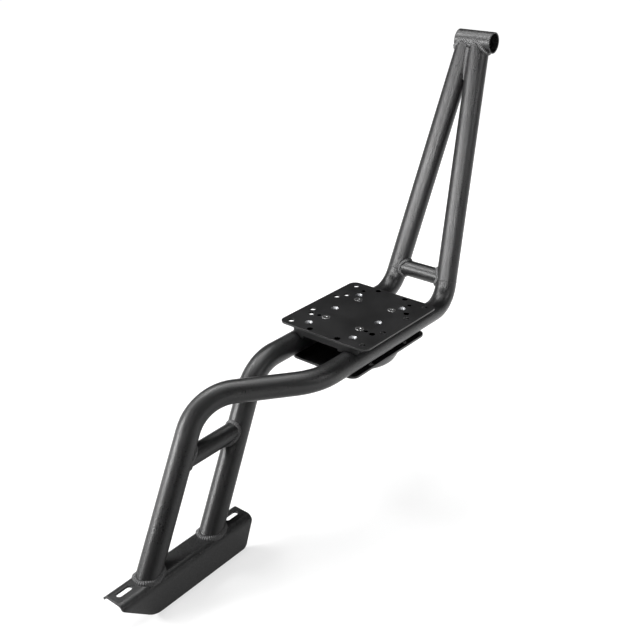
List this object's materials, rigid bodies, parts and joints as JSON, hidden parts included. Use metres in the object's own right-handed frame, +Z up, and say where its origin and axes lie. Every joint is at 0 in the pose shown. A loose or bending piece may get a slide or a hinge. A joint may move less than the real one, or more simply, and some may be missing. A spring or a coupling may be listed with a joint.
{
  "type": "gear shifter support frame",
  "caption": "Bent two-tube support frame with a foot bracket, a drilled flat plate for a gear shifter and an upright that ends in a cross sleeve.",
  "frame": {"origin": "underside of the foot bracket's flange, midway between its two slots", "axes": "+Y along the foot bracket and the plate towards the upright, +X across the plate towards the side tube, +Z up"},
  "size_m": [0.155, 0.7776, 0.6287],
  "materials": {
    "textured_black": "satin textured powder coat",
    "smooth_black": "smooth matte powder coat",
    "black_plastic": "fine grained moulded plastic",
    "black_screw": "black oxide",
    "zinc_insert": "bright zinc"
  },
  "bodies": {
    "root": {"side_tube": "textured_black", "far_tube": "textured_black", "top_sleeve": "textured_black", "upper_crossbar": "textured_black", "lower_crossbar": "textured_black", "foot_bracket": "textured_black", "device_plate": "smooth_black", "upper_tube_plate": "black_plastic", "lower_tube_plate": "textured_black", "side_spacer_strip": "black_plastic", "far_spacer_strip": "black_plastic", "underside_disc": "black_plastic", "plate_screw_1": "black_screw", "plate_screw_2": "black_screw", "plate_screw_3": "black_screw", "plate_screw_4": "black_screw", "threaded_insert_1": "zinc_insert", "threaded_insert_2": "zinc_insert", "threaded_insert_3": "zinc_insert", "threaded_insert_4": "zinc_insert", "threaded_insert_5": "zinc_insert", "threaded_insert_6": "zinc_insert"}
  },
  "joints": []
}
